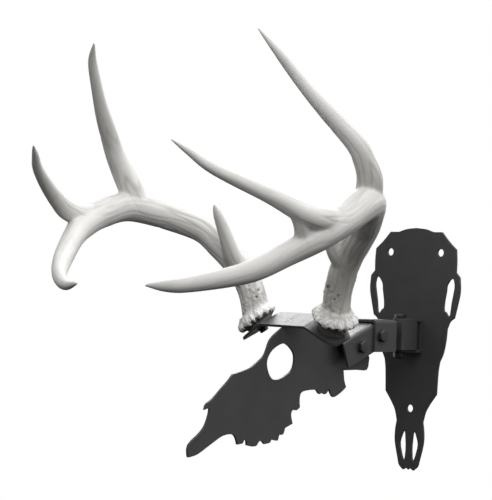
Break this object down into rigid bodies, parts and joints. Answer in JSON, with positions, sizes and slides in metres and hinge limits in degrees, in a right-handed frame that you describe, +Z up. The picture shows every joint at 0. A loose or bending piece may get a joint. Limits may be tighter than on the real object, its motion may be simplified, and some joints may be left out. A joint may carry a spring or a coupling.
{
  "type": "antler mount kit",
  "caption": "Wall-hung antler mount: deer antlers on a folded steel head with a skull-shaped profile plate, on an arm that swivels and tilts on a skull-shaped wall plate.",
  "frame": {"origin": "on the wall plate's flat back face, in the middle of its width and level with the middle of the swivel bolt", "axes": "+Z up, +Y into the wall, -Y into the room, +X to the deer's left"},
  "size_m": [0.4084, 0.5438, 0.4917],
  "materials": {
    "black_powder_coat": "satin",
    "black_oxide_steel": "satin",
    "antler_bone": "satin"
  },
  "bodies": {
    "wall_mount": {"wall_plate": "black_powder_coat", "wall_bracket": "black_powder_coat", "swivel_bolt": "black_oxide_steel", "swivel_nut": "black_oxide_steel"},
    "arm": {"swivel_block": "black_powder_coat", "tilt_yoke": "black_powder_coat", "tilt_bolt": "black_oxide_steel", "tilt_nut": "black_oxide_steel"},
    "head": {"head_channel": "black_powder_coat", "antler_plate": "black_powder_coat", "skull_profile": "black_powder_coat", "clamp_bolt": "black_oxide_steel", "clamp_nut": "black_oxide_steel", "clamp_spacer_left": "black_oxide_steel", "clamp_spacer_right": "black_oxide_steel", "antler_screw_left": "black_oxide_steel", "antler_screw_right": "black_oxide_steel", "antler_left": "antler_bone", "antler_right": "antler_bone"}
  },
  "joints": [
    {"name": "swivel", "type": "hinge", "parent": "wall_mount", "child": "arm", "pos_m": [0, -0.0285, 0], "axis": [0, 0, 1], "range_deg": [-45, 45]},
    {"name": "tilt", "type": "hinge", "parent": "arm", "child": "head", "pos_m": [0, -0.09, 0], "axis": [1, 0, 0], "range_deg": [-5, 25]}
  ]
}
